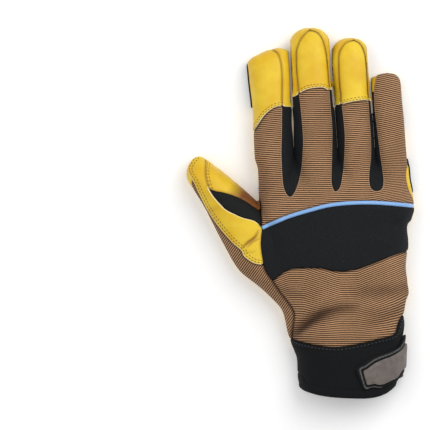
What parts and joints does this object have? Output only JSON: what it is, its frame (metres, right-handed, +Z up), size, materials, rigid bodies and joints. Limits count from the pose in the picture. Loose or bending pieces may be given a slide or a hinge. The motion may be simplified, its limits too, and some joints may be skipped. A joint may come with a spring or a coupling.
{
  "type": "mechanic glove, right hand",
  "caption": "Leather palm mechanic glove for the right hand with a stretch back, padded knuckle band, leather fingertips and a strapped cuff.",
  "frame": {"origin": "a point on the flat underside of the heel patch, which the glove rests on", "axes": "+Y to the fingertips, +X to the little finger, +Z up, out of the back of the hand"},
  "size_m": [0.1536, 0.2487, 0.0338],
  "materials": {
    "leather": "yellow grain leather, soft sheen, pale raw edges",
    "stretch_fabric": "brown stretch fabric with fine ribs across",
    "band_fabric": "black smooth stretch fabric over thin padding",
    "synthetic_leather": "black synthetic leather, fine grain, matt",
    "cuff_fabric": "black neoprene-like cuff fabric",
    "piping_cord": "light blue satin piping",
    "plate_rubber": "grey brown moulded rubber, bare"
  },
  "bodies": {
    "root": {"back_upper": "stretch_fabric", "back_lower": "stretch_fabric", "thumb_back": "stretch_fabric", "knuckle_band": "band_fabric", "piping": "piping_cord", "thumb_strip": "leather", "thumb_inner": "leather", "web_patch": "synthetic_leather", "fourchette_index_middle": "band_fabric", "fourchette_middle_ring": "band_fabric", "fourchette_ring_little": "band_fabric", "index_tip": "leather", "middle_tip": "leather", "ring_tip": "leather", "index_tip_wall": "leather", "middle_tip_wall_left": "leather", "middle_tip_wall_right": "leather", "ring_tip_wall_left": "leather", "ring_tip_wall_right": "leather", "little_tip_wall": "leather", "palm_leather": "leather", "index_patch": "synthetic_leather", "middle_patch": "synthetic_leather", "ring_patch": "synthetic_leather", "little_patch": "synthetic_leather", "knuckle_patch": "synthetic_leather", "little_base_patch": "synthetic_leather", "heel_patch": "synthetic_leather", "crotch_patch": "synthetic_leather", "cuff_band": "cuff_fabric", "strap": "cuff_fabric", "strap_plate": "plate_rubber"}
  },
  "joints": []
}
